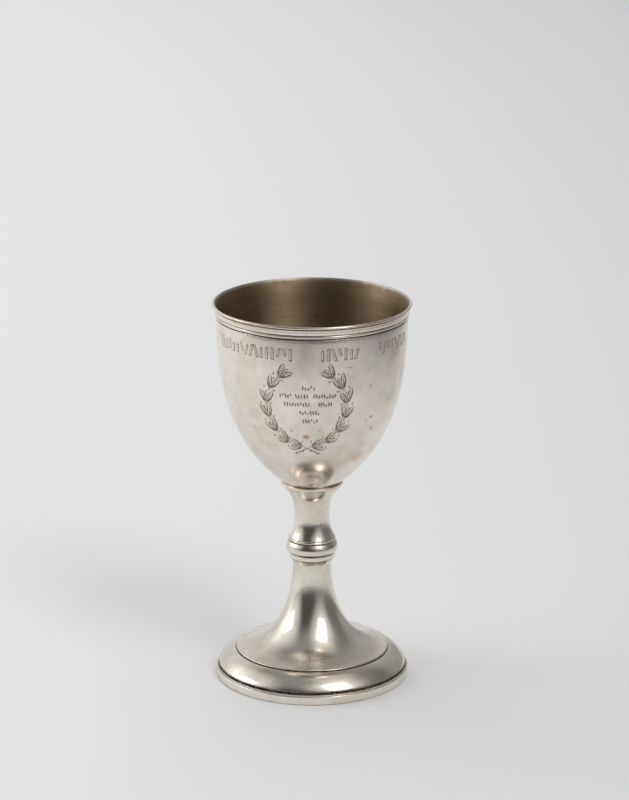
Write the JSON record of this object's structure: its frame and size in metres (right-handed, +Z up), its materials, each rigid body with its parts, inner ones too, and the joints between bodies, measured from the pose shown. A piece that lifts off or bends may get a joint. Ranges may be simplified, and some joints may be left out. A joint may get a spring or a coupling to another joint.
{
  "type": "kiddush cup",
  "caption": "Silver wine goblet with a deep bowl, moulded rim, engraved laurel wreath and stroke rows, on a waisted stem, ring knop and domed round foot.",
  "frame": {"origin": "middle of the foot wire's underside, on the table", "axes": "+Z up along the cup's axis, with the engraved wreath facing -Y"},
  "size_m": [0.0758, 0.0758, 0.149],
  "materials": {
    "silver_satin": "satin sterling silver, softly worn, with grey tarnish in the engraving and the grooves",
    "silver_polished": "polished sterling silver, with grey-brown tarnish in the grooves"
  },
  "bodies": {
    "root": {"foot_wire": "silver_polished", "foot": "silver_polished", "knop": "silver_polished", "stem": "silver_polished", "bowl": "silver_satin"}
  },
  "joints": []
}
